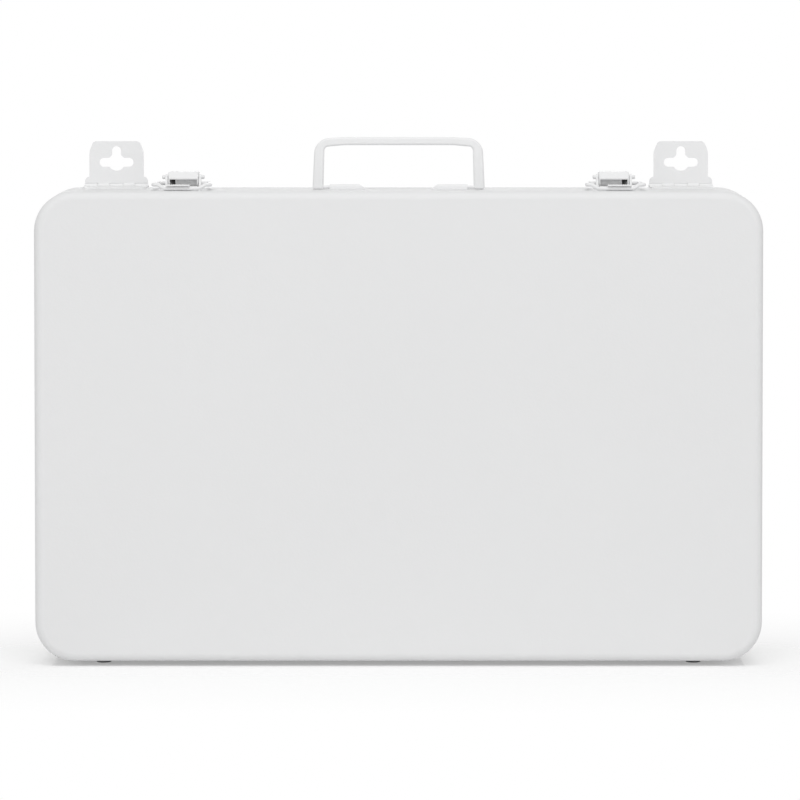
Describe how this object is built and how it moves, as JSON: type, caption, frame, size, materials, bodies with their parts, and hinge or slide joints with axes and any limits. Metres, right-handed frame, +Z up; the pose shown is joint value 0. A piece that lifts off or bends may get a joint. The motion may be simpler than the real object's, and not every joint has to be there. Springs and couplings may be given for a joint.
{
  "type": "first aid box",
  "caption": "White sheet-steel first aid case with rounded corners, draw latches, a folding carrying handle and folding keyhole hangers on its top, and a lid that swings down.",
  "frame": {"origin": "on the floor under the middle of the closed case, which stands on its rubber feet", "axes": "+X to the right seen from the front, +Y from the lid's face to the back, +Z up. Rest pose: lid shut and latched, handle and both hangers upright"},
  "size_m": [0.3682, 0.07, 0.2673],
  "materials": {
    "case_paint": "satin white enamel on sheet steel",
    "fitting_paint": "satin white enamel on steel fittings",
    "rubber": "matt",
    "foot_rubber": "matt"
  },
  "bodies": {
    "box": {"base_shell": "case_paint", "seal": "rubber", "lid_hinge_base_leaf_left": "fitting_paint", "lid_hinge_base_leaf_right": "fitting_paint", "lid_hinge_pin_left": "fitting_paint", "lid_hinge_pin_right": "fitting_paint", "handle_clip_left": "fitting_paint", "handle_clip_right": "fitting_paint", "hanger_leaf_left": "fitting_paint", "hanger_leaf_right": "fitting_paint", "hanger_pin_left": "fitting_paint", "hanger_pin_right": "fitting_paint", "latch_bracket_left": "fitting_paint", "latch_bracket_right": "fitting_paint", "latch_pin_left": "fitting_paint", "latch_pin_right": "fitting_paint", "bracket_rivets_left": "fitting_paint", "bracket_rivets_right": "fitting_paint", "base_foot_left": "foot_rubber", "base_foot_right": "foot_rubber"},
    "lid": {"lid_shell": "case_paint", "lid_hinge_lid_leaf_left": "fitting_paint", "lid_hinge_lid_leaf_right": "fitting_paint", "latch_keeper_left": "fitting_paint", "latch_keeper_right": "fitting_paint", "keeper_rivets_left": "fitting_paint", "keeper_rivets_right": "fitting_paint", "lid_foot_left": "foot_rubber", "lid_foot_right": "foot_rubber"},
    "handle": {"handle": "fitting_paint"},
    "hanger_left": {"hanger_plate_left": "fitting_paint"},
    "lever_left": {"latch_lever_left": "fitting_paint"},
    "bail_left": {"latch_bail_left": "fitting_paint"},
    "hanger_right": {"hanger_plate_right": "fitting_paint"},
    "lever_right": {"latch_lever_right": "fitting_paint"},
    "bail_right": {"latch_bail_right": "fitting_paint"}
  },
  "joints": [
    {"name": "lid_hinge", "type": "hinge", "parent": "box", "child": "lid", "pos_m": [0, -0.0074, 0.0016], "axis": [1, 0, 0], "range_deg": [0, 165]},
    {"name": "handle_pivot", "type": "hinge", "parent": "box", "child": "handle", "pos_m": [0, -0.0015, 0.24185], "axis": [1, 0, 0], "range_deg": [-88, 88]},
    {"name": "hanger_hinge_left", "type": "hinge", "parent": "box", "child": "hanger_left", "pos_m": [-0.1455, 0.0337, 0.24125], "axis": [1, 0, 0], "range_deg": [0, 88]},
    {"name": "hanger_hinge_right", "type": "hinge", "parent": "box", "child": "hanger_right", "pos_m": [0.1455, 0.0337, 0.24125], "axis": [1, 0, 0], "range_deg": [0, 88]},
    {"name": "latch_lever_left", "type": "hinge", "parent": "box", "child": "lever_left", "pos_m": [-0.11, 0.0066, 0.2467], "axis": [1, 0, 0], "range_deg": [0, 150.01]},
    {"name": "latch_bail_left", "type": "hinge", "parent": "lever_left", "child": "bail_left", "pos_m": [-0.11, 0.0125, 0.2433], "axis": [1, 0, 0], "range_deg": [-180.01, 0]},
    {"name": "latch_lever_right", "type": "hinge", "parent": "box", "child": "lever_right", "pos_m": [0.11, 0.0066, 0.2467], "axis": [1, 0, 0], "range_deg": [0, 150.01]},
    {"name": "latch_bail_right", "type": "hinge", "parent": "lever_right", "child": "bail_right", "pos_m": [0.11, 0.0125, 0.2433], "axis": [1, 0, 0], "range_deg": [-180.01, 0]}
  ],
  "couplings": [
    {"joint": "latch_lever_left", "follows": "lid_hinge", "ratio": 0.90909},
    {"joint": "latch_bail_left", "follows": "lid_hinge", "ratio": -1.0909},
    {"joint": "latch_lever_right", "follows": "lid_hinge", "ratio": 0.90909},
    {"joint": "latch_bail_right", "follows": "lid_hinge", "ratio": -1.0909}
  ]
}
